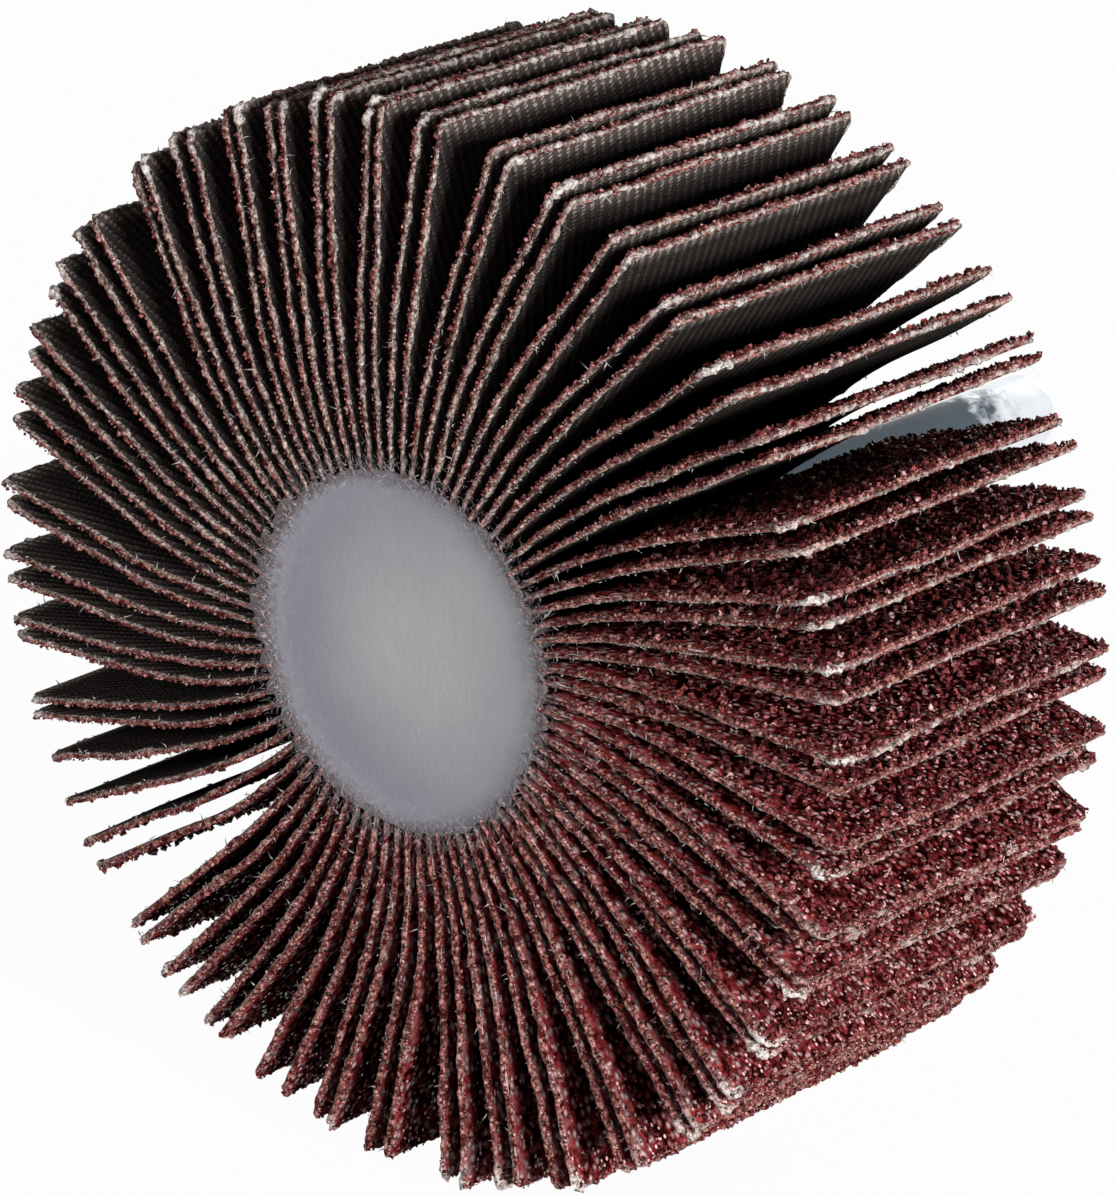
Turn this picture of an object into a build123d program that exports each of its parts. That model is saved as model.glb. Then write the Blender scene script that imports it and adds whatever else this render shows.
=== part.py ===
from build123d import *
import math
import os
import random

# Abrasive flap wheel on a spindle, in millimetres.
# The spindle lies along Y and the shank points to +Y. The front face looks to -Y. +Z is up.
# The origin is on the spindle's axis, where the shank leaves the core's back face.

# Wheel
wheel_diameter = 80.0
flap_width = 30.2
flap_thickness = 0.8

# Core, the cast resin hub: a spool with a flange at each face
core_diameter = 26.4
core_setback = 0.4

# Root of a flap: the tongue left between two side notches stands in the core's groove
tongue_depth = 1.0
notch_depth = 2.0
root_gap = 0.09

# Spindle: the bare shank, and the hexagonal anchor cast into the core
shank_diameter = 6.0
shank_reach = 43.0
shank_end_cut = 0.6
anchor_across_flats = 7.0
anchor_length = 22.0

# Tips of the flaps: the straight stretch past the bend, and the worn corners
straight_tip = 12.0
corner_cut = 0.8
reach_scatter = 0.3
scatter_seed = 267

# Where the first pair's roots stand, in degrees clockwise from straight up, seen from the front
first_pair_angle = -0.45

# How far each pair's tips sweep clockwise past its roots, in degrees, read clockwise round the face
pair_leans = (
    5.3, 6.5, 6.5, 6.6, 6.6, 7.0, 6.1, 6.7, 6.0, 4.9, 5.6, 6.5, 7.1, 4.8, 5.1,
    5.2, 3.2, 5.0, 6.8, 6.6, 6.2, 8.8, 8.6, 7.9, 8.7, 7.4, 5.9, 7.4, 7.8, 7.8,
    8.4, 6.8, 6.7, 8.8, 8.5, 8.9, 8.6, 11.8, 10.9, 10.8, 8.6, 7.2, 6.3,
)

# The angle between the two tips of each pair, in the same order
pair_openings = (
    2.9, 2.1, 2.3, 2.6, 2.6, 3.6, 2.1, 2.9, 2.3, 2.9, 3.0, 3.4, 1.7, 1.7, 2.1,
    1.9, 1.9, 2.1, 2.6, 2.9, 2.9, 2.9, 1.9, 3.9, 2.1, 2.9, 2.1, 3.3, 4.9, 1.7,
    1.7, 2.7, 2.1, 3.2, 3.2, 3.4, 2.9, 1.6, 2.6, 1.7, 1.9, 1.9, 1.6,
)

core_radius = core_diameter / 2
wheel_radius = wheel_diameter / 2
core_length = flap_width - 2 * core_setback
flap_front = core_setback - flap_width
seat_radius = core_radius - tongue_depth
tongue_width = flap_width - 2 * notch_depth
tongue_front = flap_front + notch_depth

# As many pairs as stand round the seats with the root gap between neighbours
root_pitch = flap_thickness + root_gap
pair_count = math.floor(2 * math.pi * seat_radius / (2 * root_pitch))
flap_pitch_angle = 360 / (2 * pair_count)


def radial_plane(angle, y):
    """A plane across the axis: its x runs out at this clockwise angle, its y clockwise, its normal to +Y."""
    turn = math.radians(angle)
    outward = (math.sin(turn), 0, math.cos(turn))
    return Plane(origin=(0, y, 0), x_dir=outward, z_dir=(0, 1, 0))


def make_flap(root_angle, lean, reach):
    """One strip of coated cloth: a tongue, and a blade that leaves the core straight and bends clockwise.

    The bend's two tangents are equally long, one on the root's radius and one on the straight tip's line.
    """
    run = reach * math.cos(math.radians(lean)) - core_radius
    rise = reach * math.sin(math.radians(lean))
    bend_angle = 2 * math.atan2(rise, run + straight_tip)
    tangent = rise / math.sin(bend_angle) - straight_tip
    bend_radius = tangent / math.tan(bend_angle / 2)
    bend_degrees = math.degrees(bend_angle)
    half = flap_thickness / 2
    with BuildPart() as flap:
        with BuildSketch(radial_plane(root_angle, flap_front)):
            with BuildLine():
                Line((core_radius, -half), (core_radius, half))
                tip_ends = []
                for offset in (-half, half):
                    bend = JernArc((core_radius, offset), (1, 0), bend_radius - offset, bend_degrees)
                    tip_ends.append(bend @ 1 + straight_tip * (bend % 1))
                    Line(bend @ 1, tip_ends[-1])
                Line(*tip_ends)
            make_face()
        extrude(amount=flap_width)
        outward = Axis((0, 0, 0), radial_plane(root_angle, 0).x_dir)
        tip = flap.faces().sort_by(outward)[-1]
        chamfer(tip.edges().sort_by(SortBy.LENGTH)[:2], length=corner_cut)
        with BuildSketch(radial_plane(root_angle, tongue_front)):
            with Locations((seat_radius + tongue_depth / 2, 0)):
                Rectangle(tongue_depth, flap_thickness)
        extrude(amount=tongue_width)
    return flap.part


# Spindle
with BuildPart() as spindle:
    with BuildSketch(radial_plane(0, 0)):
        Circle(shank_diameter / 2)
    extrude(amount=shank_reach)
    chamfer(spindle.edges().sort_by(Axis.Y)[-1], length=shank_end_cut)
    with BuildSketch(radial_plane(0, 0)):
        RegularPolygon(anchor_across_flats / 2, side_count=6, major_radius=False)
    extrude(amount=-anchor_length)

# Core, cast round the spindle's anchor, with a groove between its flanges for the flaps' tongues
with BuildPart() as core:
    with BuildSketch(radial_plane(0, 0)):
        Circle(core_radius)
    extrude(amount=-core_length)
    with BuildSketch(radial_plane(0, tongue_front)):
        Circle(core_radius)
        Circle(seat_radius, mode=Mode.SUBTRACT)
    extrude(amount=tongue_width, mode=Mode.SUBTRACT)
    add(spindle.part, mode=Mode.SUBTRACT)

# Flaps, in pairs that lean towards each other at the tips
scatter = random.Random(scatter_seed)
flap_pairs = {}
for number in range(pair_count):
    pair_angle = first_pair_angle + 2 * number * flap_pitch_angle
    pair_lean = pair_leans[number % len(pair_leans)]
    closing = (flap_pitch_angle - pair_openings[number % len(pair_openings)]) / 2
    with BuildPart() as pair:
        for side in (-1, 1):
            root_angle = pair_angle + side * flap_pitch_angle / 2
            reach = wheel_radius + scatter.uniform(-reach_scatter, reach_scatter)
            add(make_flap(root_angle, pair_lean - side * closing, reach))
    flap_pairs[f"flap_pair_{number + 1:02d}"] = pair.part

os.makedirs("parts", exist_ok=True)
spindle.part.label = "spindle"
export_step(spindle.part, "parts/spindle.step")
core.part.label = "core"
export_step(core.part, "parts/core.step")
for name, flap_pair in flap_pairs.items():
    flap_pair.label = name
    export_step(flap_pair, f"parts/{name}.step")
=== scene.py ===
"""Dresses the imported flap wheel: coated cloth flaps, cast resin core, plated spindle and white stage."""

import itertools
import math

import bpy
import numpy as np
from mathutils import Matrix, Vector


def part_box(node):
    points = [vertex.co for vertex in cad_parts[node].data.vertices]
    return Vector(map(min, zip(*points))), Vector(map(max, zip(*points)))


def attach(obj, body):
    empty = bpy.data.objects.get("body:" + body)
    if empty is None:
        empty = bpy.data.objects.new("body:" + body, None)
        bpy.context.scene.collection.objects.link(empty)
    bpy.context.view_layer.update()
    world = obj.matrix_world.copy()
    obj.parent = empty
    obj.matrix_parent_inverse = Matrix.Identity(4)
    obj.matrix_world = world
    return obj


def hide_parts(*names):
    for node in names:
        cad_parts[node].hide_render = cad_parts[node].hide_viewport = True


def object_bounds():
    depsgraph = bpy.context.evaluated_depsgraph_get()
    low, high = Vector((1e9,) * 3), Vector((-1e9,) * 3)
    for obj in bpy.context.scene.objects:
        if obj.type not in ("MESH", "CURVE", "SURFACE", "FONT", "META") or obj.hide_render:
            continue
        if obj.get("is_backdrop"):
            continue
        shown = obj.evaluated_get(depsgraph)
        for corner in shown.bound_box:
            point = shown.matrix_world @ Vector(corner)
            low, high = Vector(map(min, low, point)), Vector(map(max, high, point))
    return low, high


bl_info = {
    "name": "Flap wheel",
    "version": (1, 0, 0),
    "blender": (4, 5, 0),
    "location": "View3D > Sidebar > Flap wheel",
    "description": "Builds an abrasive flap wheel on a spindle",
    "category": "Add Mesh",
}

MM = 0.001

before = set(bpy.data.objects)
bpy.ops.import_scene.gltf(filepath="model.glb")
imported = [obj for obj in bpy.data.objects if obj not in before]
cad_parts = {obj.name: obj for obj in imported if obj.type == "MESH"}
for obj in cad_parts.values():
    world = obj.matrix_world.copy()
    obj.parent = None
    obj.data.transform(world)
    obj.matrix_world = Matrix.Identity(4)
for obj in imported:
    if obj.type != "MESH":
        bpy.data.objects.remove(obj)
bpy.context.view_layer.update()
flap_nodes = sorted(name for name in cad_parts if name.startswith("flap_pair_"))
core_low, core_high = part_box("core")
spindle_low, spindle_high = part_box("spindle")
flap_low, flap_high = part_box(flap_nodes[0])

# Sizes that the frame gives, in metres
CORE_RADIUS = core_high.x
FLAP_FRONT = flap_low.y
FLAP_WIDTH = flap_high.y - flap_low.y
SHANK_REACH = spindle_high.y
FLAP_COUNT = 2 * len(flap_nodes)
FLAP_PITCH = 2 * math.pi / FLAP_COUNT
WHEEL_CENTRE = Vector((0, FLAP_FRONT + FLAP_WIDTH / 2, 0))

# Sizes that the frame doesn't state, as the part's source has them
SHANK_RADIUS = 3.0 * MM
ANCHOR_ACROSS_FLATS = 7.0 * MM
STRAIGHT_TIP = 12.0 * MM
CORNER_CUT = 0.8 * MM
TONGUE_DEPTH = 1.0 * MM
NOTCH_DEPTH = 2.0 * MM

# The radius of a profile's ends, small enough to be on the axis
ON_AXIS = 1e-6

# Points round the core and the shank, the random seeds, and how far up the flap grows to its full lumps
CORE_STEPS = 4 * FLAP_COUNT
SHANK_STEPS = 72
FLAP_SEED = 7
CORE_SEED = 11
GROW_FROM, GROW_TO = -2 * MM, 14 * MM

# Where the lamps stand from the wheel's centre, and the sides of their squares, in metres
KEY_PLACE, KEY_SIZE = Vector((0.94, -0.24, 0.19)), 0.32
FILL_PLACE, FILL_SIZE = Vector((-0.44, -0.86, 0.26)), 0.4
BACK_PLACE, BACK_SIZE = Vector((-0.25, 0.95, 0.3)), 0.4

# The floor: its side, the grey that takes the shadow, and how much of it is seen as plain white
FLOOR_SIDE = 6.0
FLOOR_GREY = 0.5
FLOOR_WHITE_SHARE = 0.965


# Repeatable noise


def cell_values(cells, seed):
    """A repeatable number from 0 to 1 for each cell.

    It is what a large multiple of a sine of the cell's place leaves past its whole part.
    """
    return np.abs(np.sin(cells @ np.array([12.9898, 78.233, 37.719]) + seed * 1.317) * 43758.5453) % 1.0


def smooth_noise(points, size, seed):
    """Noise from -1 to 1.

    The values at the corners of cubes of this size, blended along each axis by 3t^2 - 2t^3.
    """
    scaled = np.asarray(points) / size
    base = np.floor(scaled)
    t = scaled - base
    t = t * t * (3 - 2 * t)
    total = 0
    for corner in itertools.product((0, 1), repeat=3):
        total = total + np.prod(np.where(corner, t, 1 - t), axis=-1) * cell_values(base + corner, seed)
    return 2 * total - 1


def grain_noise(points, size, seed):
    """Rounded grains from 0 to 1.

    Each cube of this size holds one grain, and the height falls with the distance from the nearest one.
    """
    scaled = np.asarray(points) / size
    base = np.floor(scaled)
    nearest = np.full(scaled.shape[:-1], 9.0)
    for step in itertools.product((-1, 0, 1), repeat=3):
        cell = base + step
        place = np.stack([cell_values(cell, seed + axis) for axis in (0, 1, 2)], axis=-1)
        nearest = np.minimum(nearest, np.linalg.norm(cell + place - scaled, axis=-1))
    return np.clip(1 - nearest, 0, 1)


def smoothstep(low, high, value):
    """0 below low, 1 above high, and 3t^2 - 2t^3 between them."""
    t = np.clip((np.asarray(value) - low) / (high - low), 0, 1)
    return t * t * (3 - 2 * t)


# Meshes


def new_object(name, data):
    """An object of this data, linked to the scene."""
    made = bpy.data.objects.new(name, data)
    bpy.context.scene.collection.objects.link(made)
    return made


def unit(vectors):
    """These vectors at length 1."""
    return vectors / np.linalg.norm(vectors, axis=-1, keepdims=True)


def node_points(name):
    """The points of a node's solid, in metres."""
    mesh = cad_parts[name].data
    points = np.zeros(len(mesh.vertices) * 3)
    mesh.vertices.foreach_get("co", points)
    return points.reshape(-1, 3)


def grid_faces(rows, columns, closed):
    """Four-cornered faces of a grid of rows by columns points, joined round its columns where closed."""
    spans = columns if closed else columns - 1
    row, column = np.meshgrid(np.arange(rows - 1), np.arange(spans), indexing="ij")
    following = (column + 1) % columns
    faces = [row * columns + column, row * columns + following]
    faces += [(row + 1) * columns + following, (row + 1) * columns + column]
    return np.stack(faces, axis=-1).reshape(-1, 4)


class Shell:
    """Collects closed surfaces for one mesh, with materials, map places and the masks materials read."""

    masks = ("depth", "tone", "lint", "smear", "wear")

    def __init__(self):
        self.points, self.corners, self.totals, self.materials, self.smooth = [], [], [], [], []
        self.places = []
        self.values = {mask: [] for mask in self.masks}
        self.count = 0

    def add(self, points, faces, material, places=None, smooth=True, **values):
        """Adds a surface: a row of corners for each face, and one material number, or one per face."""
        total = len(points)
        self.points.append(points)
        self.corners.append((np.asarray(faces) + self.count).ravel())
        self.totals.append(np.full(len(faces), np.shape(faces)[1]))
        self.materials.append(np.broadcast_to(material, len(faces)))
        self.smooth.append(np.broadcast_to(smooth, len(faces)))
        self.places.append(np.zeros((total, 2)) if places is None else places)
        for mask in self.masks:
            self.values[mask].append(np.broadcast_to(values.get(mask, 0.0), total))
        self.count += total

    def piece(self, name, materials, slot, replaces):
        """Makes the mesh and its object, which rides on the part's one body."""
        mesh = bpy.data.meshes.new(name)
        corners, totals = np.concatenate(self.corners), np.concatenate(self.totals)
        mesh.vertices.add(self.count)
        mesh.loops.add(len(corners))
        mesh.polygons.add(len(totals))
        mesh.vertices.foreach_set("co", np.concatenate(self.points).astype(np.float32).ravel())
        mesh.loops.foreach_set("vertex_index", corners.astype(np.int32))
        mesh.polygons.foreach_set("loop_start", (np.cumsum(totals) - totals).astype(np.int32))
        mesh.polygons.foreach_set("material_index", np.concatenate(self.materials).astype(np.int32))
        mesh.update(calc_edges=True)
        mesh.polygons.foreach_set("use_smooth", np.concatenate(self.smooth))
        places = mesh.uv_layers.new(name="place")
        places.data.foreach_set("uv", np.concatenate(self.places)[corners].astype(np.float32).ravel())
        for mask in self.masks:
            layer = mesh.attributes.new(mask, "FLOAT", "POINT")
            layer.data.foreach_set("value", np.concatenate(self.values[mask]).astype(np.float32))
        for material in materials:
            mesh.materials.append(material)
        piece = new_object(name, mesh)
        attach(piece, "root")
        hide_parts(*replaces)
        return piece


def lathe(profile, steps):
    """Points and faces of a profile of (radius, y) points turned round Y, whose ends lie on the axis."""
    profile = np.asarray(profile)
    turn = np.arange(steps) * 2 * math.pi / steps
    radius, y = profile[:, 0][:, None], profile[:, 1][:, None]
    points = np.stack([radius * np.cos(turn), y + 0 * turn, radius * np.sin(turn)], axis=-1)
    return points.reshape(-1, 3), grid_faces(len(profile), steps, closed=True)


# Shader nodes


class Nodes:
    """Short forms for the nodes of one tree."""

    def __init__(self, tree):
        self.tree = tree

    def node(self, kind, inputs=(), **settings):
        made = self.tree.nodes.new(kind)
        for name, value in settings.items():
            setattr(made, name, value)
        for socket, value in dict(inputs).items():
            self.feed(made.inputs[socket], value)
        return made

    def feed(self, socket, value):
        if isinstance(value, bpy.types.NodeSocket):
            self.tree.links.new(value, socket)
        else:
            socket.default_value = value

    def maths(self, operation, *values, clamp=False):
        made = self.node("ShaderNodeMath", operation=operation, use_clamp=clamp)
        for socket, value in zip(made.inputs, values):
            self.feed(socket, value)
        return made.outputs[0]

    def plus(self, first, second):
        return self.maths("ADD", first, second)

    def minus(self, first, second):
        return self.maths("SUBTRACT", first, second)

    def times(self, first, second, clamp=False):
        return self.maths("MULTIPLY", first, second, clamp=clamp)

    def centred(self, noise, amount):
        """A noise from 0 to 1 moved to lie round 0, times an amount."""
        return self.times(self.minus(noise, 0.5), amount)

    def range(self, value, low, high, to_low=0.0, to_high=1.0):
        inputs = {"Value": value, "From Min": low, "From Max": high, "To Min": to_low, "To Max": to_high}
        return self.node("ShaderNodeMapRange", inputs, interpolation_type="SMOOTHSTEP").outputs["Result"]

    def mix(self, share, first, second):
        made = self.node("ShaderNodeMix", data_type="RGBA")
        for socket, value in (("Factor_Float", share), ("A_Color", first), ("B_Color", second)):
            self.feed(next(s for s in made.inputs if s.identifier == socket), value)
        return next(s for s in made.outputs if s.identifier == "Result_Color")

    def mask(self, name):
        return self.node("ShaderNodeAttribute", attribute_name=name).outputs["Fac"]

    def noise(self, place, scale, detail=2.0, roughness=0.5):
        inputs = {"Vector": place, "Scale": scale, "Detail": detail, "Roughness": roughness}
        return self.node("ShaderNodeTexNoise", inputs).outputs["Fac"]

    def ramp(self, value, stops):
        """A colour ramp through stops of (place, colour, how much of the colour)."""
        made = self.node("ShaderNodeValToRGB", {"Fac": value})
        elements = made.color_ramp.elements
        while len(elements) < len(stops):
            elements.new(1.0)
        for element, (place, colour, amount) in zip(elements, stops):
            element.position = place
            element.color = shade(colour, amount)
        return made.outputs["Color"]

    def millimetres(self):
        """Object coordinates in millimetres."""
        place = self.node("ShaderNodeTexCoord").outputs["Object"]
        inputs = {"Vector": place, "Scale": (1 / MM,) * 3}
        return self.node("ShaderNodeMapping", inputs).outputs["Vector"]

    def group(self, tree, inputs):
        made = self.node("ShaderNodeGroup", node_tree=tree)
        for socket, value in inputs.items():
            self.feed(made.inputs[socket], value)
        return made


def new_group(name, inputs, outputs):
    """A shader node group with these (name, socket type, default) inputs and (name, socket type) outputs."""
    tree = bpy.data.node_groups.new(name, "ShaderNodeTree")
    for label, kind, default in inputs:
        socket = tree.interface.new_socket(name=label, in_out="INPUT", socket_type=kind)
        if default is not None:
            socket.default_value = default
    for label, kind in outputs:
        tree.interface.new_socket(name=label, in_out="OUTPUT", socket_type=kind)
    nodes = Nodes(tree)
    return nodes, nodes.node("NodeGroupInput").outputs, nodes.node("NodeGroupOutput").inputs


def grit_group():
    """Grains by nearest-cell distance: their height, a value for each grain, and their finer chips.

    Chip is a different value for each chip, and Chip spot is 1 at its middle.
    """
    nodes, given, result = new_group(
        "grit grains",
        [("Place", "NodeSocketVector", None), ("Grains per mm", "NodeSocketFloat", 2.6)],
        [(label, "NodeSocketFloat") for label in ("Height", "Grain", "Chip", "Chip spot")],
    )
    coarse = nodes.node("ShaderNodeTexVoronoi", {"Vector": given["Place"], "Scale": given["Grains per mm"]})
    finer_scale = nodes.times(given["Grains per mm"], 2.1)
    finer = nodes.node("ShaderNodeTexVoronoi", {"Vector": given["Place"], "Scale": finer_scale})
    grain = nodes.node("ShaderNodeSeparateColor", {"Color": coarse.outputs["Color"]}).outputs["Red"]
    chip = nodes.node("ShaderNodeSeparateColor", {"Color": finer.outputs["Color"]}).outputs["Green"]
    near = nodes.range(coarse.outputs["Distance"], 0.15, 0.62, 1.0, 0.0)
    rise = nodes.times(near, nodes.range(grain, 0.0, 1.0, 0.3, 1.0))
    pits = nodes.times(nodes.minus(0.5, finer.outputs["Distance"]), 0.22)
    nodes.feed(result["Height"], nodes.plus(rise, pits))
    nodes.feed(result["Grain"], grain)
    nodes.feed(result["Chip"], chip)
    nodes.feed(result["Chip spot"], nodes.range(finer.outputs["Distance"], 0.28, 0.5, 1.0, 0.0))
    return nodes.tree


def weave_group():
    """Ribs that run along the flap at a slant: a raised sine across them, broken into stitches along each."""
    nodes, given, result = new_group(
        "ribbed weave",
        [
            ("Across mm", "NodeSocketFloat", 0.0),
            ("Along mm", "NodeSocketFloat", 0.0),
            ("Rib pitch", "NodeSocketFloat", 0.9),
            ("Stitch pitch", "NodeSocketFloat", 0.4),
            ("Slant", "NodeSocketFloat", 0.0),
            ("Place", "NodeSocketVector", None),
        ],
        [("Height", "NodeSocketFloat"), ("Crest", "NodeSocketFloat")],
    )
    stray = nodes.noise(given["Place"], 1.3, 2.0)
    across = nodes.plus(given["Across mm"], nodes.times(stray, 0.3))
    across = nodes.plus(across, nodes.times(given["Along mm"], given["Slant"]))
    turn = nodes.times(nodes.maths("DIVIDE", across, given["Rib pitch"]), 2 * math.pi)
    rib = nodes.range(nodes.maths("SINE", turn), -0.6, 0.9, 0.1, 1.0)
    slanted = nodes.minus(given["Along mm"], nodes.times(across, 0.4))
    slanted = nodes.plus(slanted, nodes.times(nodes.noise(given["Place"], 1.6, 1.0), 0.5))
    along = nodes.times(nodes.maths("DIVIDE", slanted, given["Stitch pitch"]), 2 * math.pi)
    stitch = nodes.range(nodes.maths("SINE", along), -0.9, 0.5, 0.3, 1.0)
    crest = nodes.times(rib, stitch)
    fuzz = nodes.noise(given["Place"], 7.0, 3.0, 0.7)
    nodes.feed(result["Height"], nodes.plus(crest, nodes.times(fuzz, 0.4)))
    worn = nodes.range(fuzz, 0.36, 0.62, 0.25, 1.6)
    nodes.feed(result["Crest"], nodes.times(crest, worn, clamp=True))
    return nodes.tree


def shared_group(name, build):
    """The node group of this name, built the first time that a material asks for it."""
    return bpy.data.node_groups.get(name) or build()


def empty_nodes(owner):
    """The nodes of a material or a world, with none in them."""
    owner.use_nodes = True
    owner.node_tree.nodes.clear()
    return Nodes(owner.node_tree)


def new_material(name, roughness=0.5, specular=0.5):
    """A material whose only nodes are a Principled shader and an output, joined."""
    material = bpy.data.materials.new(name)
    nodes = empty_nodes(material)
    inputs = {"Roughness": roughness, "Specular IOR Level": specular}
    shader = nodes.node("ShaderNodeBsdfPrincipled", inputs)
    nodes.node("ShaderNodeOutputMaterial", {"Surface": shader.outputs[0]})
    return material, nodes, shader.inputs


def bump(nodes, height, distance):
    inputs = {"Height": height, "Distance": distance, "Strength": 1.0}
    return nodes.node("ShaderNodeBump", inputs).outputs["Normal"]


def shade(colour, amount):
    """This colour times an amount, at full alpha."""
    return tuple(min(1.0, part * amount) for part in colour[:3]) + (1.0,)


def flap_place(nodes):
    """How far across and along the flap a point is, in millimetres, from the flap's own map."""
    place = nodes.node("ShaderNodeUVMap", uv_map="place").outputs["UV"]
    split = nodes.node("ShaderNodeSeparateXYZ", {"Vector": place}).outputs
    return split["X"], split["Y"]


def grit_material(look):
    """The coated side: dark maroon grains with painted shade between them and painted highlights on their
    tops, pale chips painted as glints, and a painted light band along the front edge; more chips towards the
    worn tip.
    """
    material, nodes, shader = new_material("coated_grit", roughness=0.6, specular=0.0)
    across, along = flap_place(nodes)
    layer = nodes.times(nodes.mask("tone"), 37.0)
    stretched = nodes.times(along, 0.75)
    on_flap = nodes.node("ShaderNodeCombineXYZ", {"X": across, "Y": stretched, "Z": layer}).outputs[0]
    inputs = {"Place": on_flap, "Grains per mm": look.grains_per_mm}
    grit = nodes.group(shared_group("grit grains", grit_group), inputs).outputs
    uneven = nodes.range(nodes.noise(on_flap, 0.8, 3.0), 0.3, 0.7, -0.12, 0.10)
    # Painted light: on the coated side the lint mask is the pale band along the front edge, broken up by the
    # clouds.
    clouds = nodes.range(nodes.noise(on_flap, 1.1, 2.0), 0.3, 0.65, 0.1, 0.5)
    painted_front_light = nodes.times(nodes.mask("lint"), clouds)
    # worn here: wear towards the tip, plus the painted light band along the front edge.
    worn = nodes.plus(painted_front_light, nodes.times(nodes.mask("wear"), 0.06))
    level = nodes.plus(grit["Height"], nodes.plus(uneven, worn))
    # Painted shade and painted highlight: the ramp goes near black in the low places between grains, and pink
    # to pale on their tops, partly wear.
    body = nodes.ramp(
        level,
        [
            (0.0, look.grit_colour, 0.05),
            (0.08, look.grit_colour, 0.28),
            (0.26, look.grit_colour, 0.85),
            (0.56, look.worn_and_painted_glint_colour, 0.28),
            (0.96, look.worn_and_painted_glint_colour, 0.65),
        ],
    )
    # Painted highlights: pale spots on some chips, more of them towards the tip, stand for glints; the coat
    # over them also shines for real.
    share = nodes.plus(grit["Chip"], nodes.times(nodes.mask("wear"), 0.2))
    painted_glint = nodes.times(nodes.range(share, 0.90, 0.95), grit["Chip spot"])
    nodes.feed(shader["Base Color"], nodes.mix(painted_glint, body, look.worn_and_painted_glint_colour))
    nodes.feed(shader["Coat Weight"], painted_glint)
    shader["Coat Roughness"].default_value = 0.2
    nodes.feed(shader["Normal"], bump(nodes, grit["Height"], 0.45 * MM))
    return material


def cloth_material(look):
    """The bare side: dark grey ribbed cotton, painted darker between its ribs as painted shade, and worn pale
    near the tip.
    """
    material, nodes, shader = new_material("bare_cloth", roughness=0.9, specular=0.0)
    place = nodes.millimetres()
    across, along = flap_place(nodes)
    inputs = {"Across mm": across, "Along mm": along, "Place": place}
    inputs |= {"Rib pitch": look.rib_pitch / MM, "Stitch pitch": look.stitch_pitch / MM}
    inputs["Slant"] = look.rib_slant
    weave = nodes.group(shared_group("ribbed weave", weave_group), inputs).outputs
    # Painted shade: the cloth is painted far darker between the ribs than on their crests.
    colour = nodes.mix(weave["Crest"], shade(look.cloth_colour, 0.24), shade(look.cloth_colour, 1.15))
    patches = nodes.range(nodes.noise(place, 0.35, 3.0), 0.35, 0.7)
    colour = nodes.mix(nodes.times(patches, 0.5), colour, shade(look.cloth_colour, 0.4))
    stray = nodes.centred(nodes.noise(place, 1.8, 3.0), 0.7)
    ragged = nodes.plus(nodes.mask("wear"), stray)
    crests = nodes.range(weave["Crest"], 0.1, 0.75, 0.14, 0.95)
    worn = nodes.times(nodes.range(ragged, 0.15, 1.0), crests)
    colour = nodes.mix(worn, colour, shade(look.thread_colour, 0.75))
    nodes.feed(shader["Base Color"], colour)
    nodes.feed(shader["Normal"], bump(nodes, weave["Height"], 0.32 * MM))
    return material


def edge_material(look):
    """The cut edge: broken grains towards the coated side, pale cut threads towards the bare side."""
    material, nodes, shader = new_material("cut_edge", roughness=0.75, specular=0.0)
    place = nodes.millimetres()
    inputs = {"Place": place, "Grains per mm": 2.8}
    grit = nodes.group(shared_group("grit grains", grit_group), inputs).outputs
    height, tone = nodes.times(grit["Height"], 0.6), nodes.times(grit["Grain"], 0.4)
    grains = nodes.ramp(
        nodes.plus(height, tone),
        [
            (0.08, look.grit_colour, 0.25),
            (0.24, look.edge_colour, 0.4),
            (0.46, look.edge_colour, 0.95),
            (0.9, look.worn_and_painted_glint_colour, 0.7),
        ],
    )
    threads = nodes.noise(place, 3.6, 3.0, 0.6)
    cloth = nodes.ramp(
        threads,
        [
            (0.38, look.thread_colour, 0.12),
            (0.5, look.thread_colour, 0.45),
            (0.66, look.thread_colour, 1.15),
        ],
    )
    wander = nodes.centred(nodes.noise(place, 1.7, 3.0), 1.5)
    side = nodes.plus(nodes.mask("depth"), nodes.minus(wander, nodes.mask("tone")))
    colour = nodes.mix(nodes.range(side, 0.1, 0.65), grains, cloth)
    lint = nodes.times(nodes.mask("lint"), nodes.range(threads, 0.25, 0.6, 0.35, 1.0))
    colour = nodes.mix(lint, colour, look.lint_colour)
    gaps = nodes.range(nodes.noise(place, 2.3, 3.0, 0.6), 0.36, 0.5, 0.75, 0.0)
    colour = nodes.mix(gaps, colour, shade(look.grit_colour, 0.12))
    film = nodes.range(nodes.noise(place, 1.4, 3.0, 0.6), 0.4, 0.62, 0.1, 0.85)
    smeared = nodes.times(nodes.mask("smear"), film)
    colour = nodes.mix(smeared, colour, look.smear_colour)
    nodes.feed(shader["Base Color"], colour)
    height = nodes.plus(grit["Height"], threads)
    nodes.feed(shader["Normal"], bump(nodes, height, 0.14 * MM))
    return material


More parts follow.
